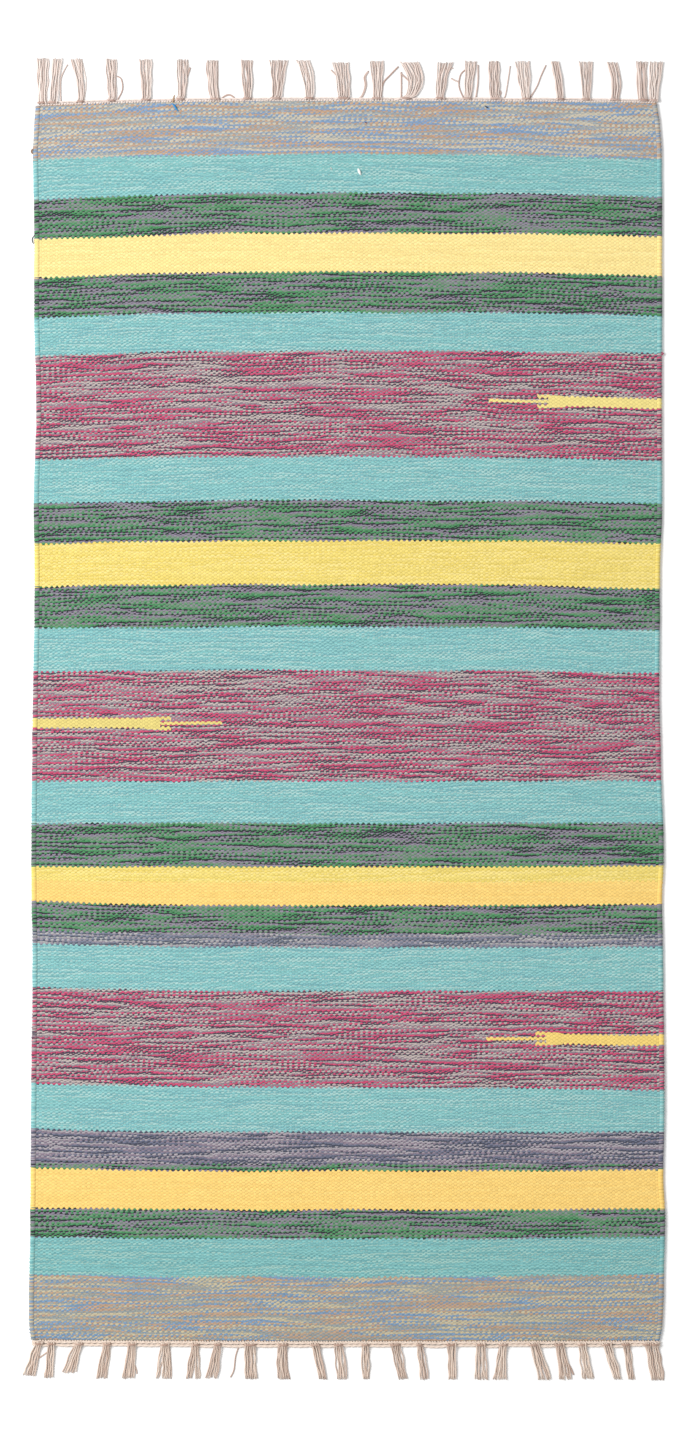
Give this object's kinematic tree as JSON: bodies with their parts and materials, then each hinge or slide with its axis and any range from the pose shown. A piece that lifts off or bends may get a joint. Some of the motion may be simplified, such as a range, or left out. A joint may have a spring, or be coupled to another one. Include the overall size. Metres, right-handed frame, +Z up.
{
  "type": "kilim",
  "caption": "Small flat-woven cotton floor rug with cross stripes and knotted tassels at both ends.",
  "frame": {"origin": "on the floor under the middle of the rug, fringes included", "axes": "+X across the rug, +Y along it towards the end that the picture shows at the top, +Z up from the floor"},
  "size_m": [0.6122, 1.2552, 0.0046],
  "materials": {
    "woven_cotton": "matte weft-faced cotton in cross stripes of mixed yarns",
    "undyed_cotton": "matte plied undyed cotton yarn"
  },
  "bodies": {
    "root": {"woven_cloth": "woven_cotton", "fringe_top": "undyed_cotton", "fringe_bottom": "undyed_cotton"}
  },
  "joints": []
}
